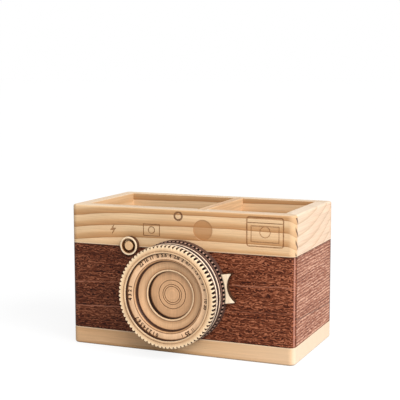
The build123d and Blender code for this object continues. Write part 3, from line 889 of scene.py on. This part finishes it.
number_mesh.materials.append(burnt_wood("burnt_numbers"))
print("finish", number_mesh.materials[0].name, "on", ring_numbers.name)

# %% [markdown]
# ## Pivot screw
# A plated steel screw and its washer hold the lens from inside the box. Only someone who looks into the
# box sees the slotted head, but it still gets its metal, with a fine cloudy roughness from the plating.

# %% Plated steel
def plated_steel(name):
    """Zinc plated steel with a slightly cloudy shine."""
    finish, tree, shader = new_finish(name)
    cloud = fibre_noise(tree, place_in_mm(tree), (1.2, 1.2, 1.2), 4.0)
    colour = mix_colour(tree, spread(tree, cloud, 0.0, 1.0), tone(188, 188, 186), tone(208, 208, 206))
    dress(tree, shader, colour, spread(tree, cloud, 0.42, 0.28))
    shader.inputs["Metallic"].default_value = 1.0
    return finish


paint(plated_steel("plated_steel"), "pivot_screw", "pivot_washer")

# %% [markdown]
# ## Studio floor
# The holder stands on a plain white floor. The floor is white to the camera by its own colour and still
# keeps the holder's soft shadow, while the light that bounces from it to the holder comes from a plain
# matt grey, so that it doesn't light the holder from below more than a real table would.

# %% Floor
floor_reach = 40.0


def looked_at(tree):
    """1 where the eye, a mirror or glass looks at a surface, and 0 where light only bounces there."""
    path = add_node(tree, "LightPath", {}).outputs
    direct = calc(tree, "MAXIMUM", path["Is Camera Ray"], path["Is Glossy Ray"])
    return calc(tree, "MAXIMUM", direct, path["Is Transmission Ray"])


def floor_finish(name):
    """White floor: plain matt for the light that bounces, nearly white with a soft shadow for the eye."""
    finish, tree, shader = new_finish(name)
    bounce = add_node(tree, "BsdfDiffuse", {"Color": (0.60, 0.60, 0.60, 1.0)}).outputs[0]
    shadowed = add_node(tree, "BsdfDiffuse", {"Color": (0.18, 0.18, 0.18, 1.0)}).outputs[0]
    glow = add_node(tree, "Emission", {"Color": (1.0, 1.0, 1.0, 1.0), "Strength": 0.86}).outputs[0]
    white = add_node(tree, "AddShader", {0: shadowed, 1: glow}).outputs[0]
    both = add_node(tree, "MixShader", {0: looked_at(tree), 1: bounce, 2: white}).outputs[0]
    tree.links.new(both, tree.nodes["Material Output"].inputs["Surface"])
    tree.nodes.remove(shader)
    return finish


shape = bmesh.new()
bmesh.ops.create_grid(shape, x_segments=1, y_segments=1, size=floor_reach)
floor_mesh = finished_mesh("floor", shape)
floor = put_in_scene("floor", floor_mesh)
floor_mesh.materials.append(floor_finish("white_floor"))
print("floor reaches", max(vertex.co.x for vertex in floor_mesh.vertices), "m from the middle")

# %% [markdown]
# ## Light
# A large soft lamp from the right and above lights the right side and the rim most. A square lamp at
# the front right opens the shadows and makes the near end a little lighter than the far one. The world
# around is white to the eye and adds an even light from all sides.

# %% World
sky_light, sky_white = 0.42, 1.0
world = bpy.data.worlds.new("studio")
bpy.context.scene.world = world
world.use_nodes = True
sky = world.node_tree
background = sky.nodes["Background"].inputs
background["Color"].default_value = (1.0, 1.0, 1.0, 1.0)
sky_strength = calc(sky, "MULTIPLY_ADD", looked_at(sky), sky_white - sky_light, sky_light)
sky.links.new(sky_strength, background["Strength"])
print("sky light", sky_light)

# %% Lamps
def hang_lamp(lamp, place, aim):
    """Hangs a lamp at a place in metres and points it at another one."""
    holder = put_in_scene(lamp.name, lamp)
    holder.location = place
    holder.rotation_euler = (Vector(aim) - Vector(place)).to_track_quat("-Z", "Y").to_euler()
    print("lamp", lamp.name, "at", place, "strength", round(lamp.energy, 2))
    return holder


right_lamp = bpy.data.lights.new("right_lamp", "SUN")
right_lamp.angle = radians(30.0)
right_lamp.energy = 2.15
hang_lamp(right_lamp, place=(0.80, -0.24, 0.55), aim=(0.0, 0.0, 0.0))
front_lamp = bpy.data.lights.new("front_lamp", "AREA")
front_lamp.size = 0.40
front_lamp.energy = 3.0
front_holder = hang_lamp(front_lamp, place=(0.38, -0.52, 0.40), aim=(0.0, 0.0, 0.05))
front_holder.visible_camera = False

# %% [markdown]
# ## Camera
# The photograph was taken from the front right and slightly above, with a long lens held a touch off
# level. The angles come from fitting a camera to the straight edges of the box.

# %% Camera
aim = Vector((-2.517, 0.0, 96.502)) * MM
turn, rise, lean, distance = radians(23.033), radians(6.863), radians(-0.109), 690.29 * MM
back = Vector((sin(turn) * cos(rise), -cos(turn) * cos(rise), sin(rise)))
level = Vector((cos(turn), sin(turn), 0.0))
upright = back.cross(level)
side = cos(lean) * level + sin(lean) * upright
top = cos(lean) * upright - sin(lean) * level
camera_data = bpy.data.cameras.new("camera")
camera_data.sensor_width = 36.0
camera_data.lens = 91.29
camera = put_in_scene("camera", camera_data)
facing_box = Matrix((side, top, back)).transposed().to_4x4()
camera.matrix_world = Matrix.Translation(aim + distance * back) @ facing_box
bpy.context.scene.camera = camera
bpy.context.scene.view_settings.view_transform = "Standard"
print("camera at", [round(value, 3) for value in aim + distance * back])
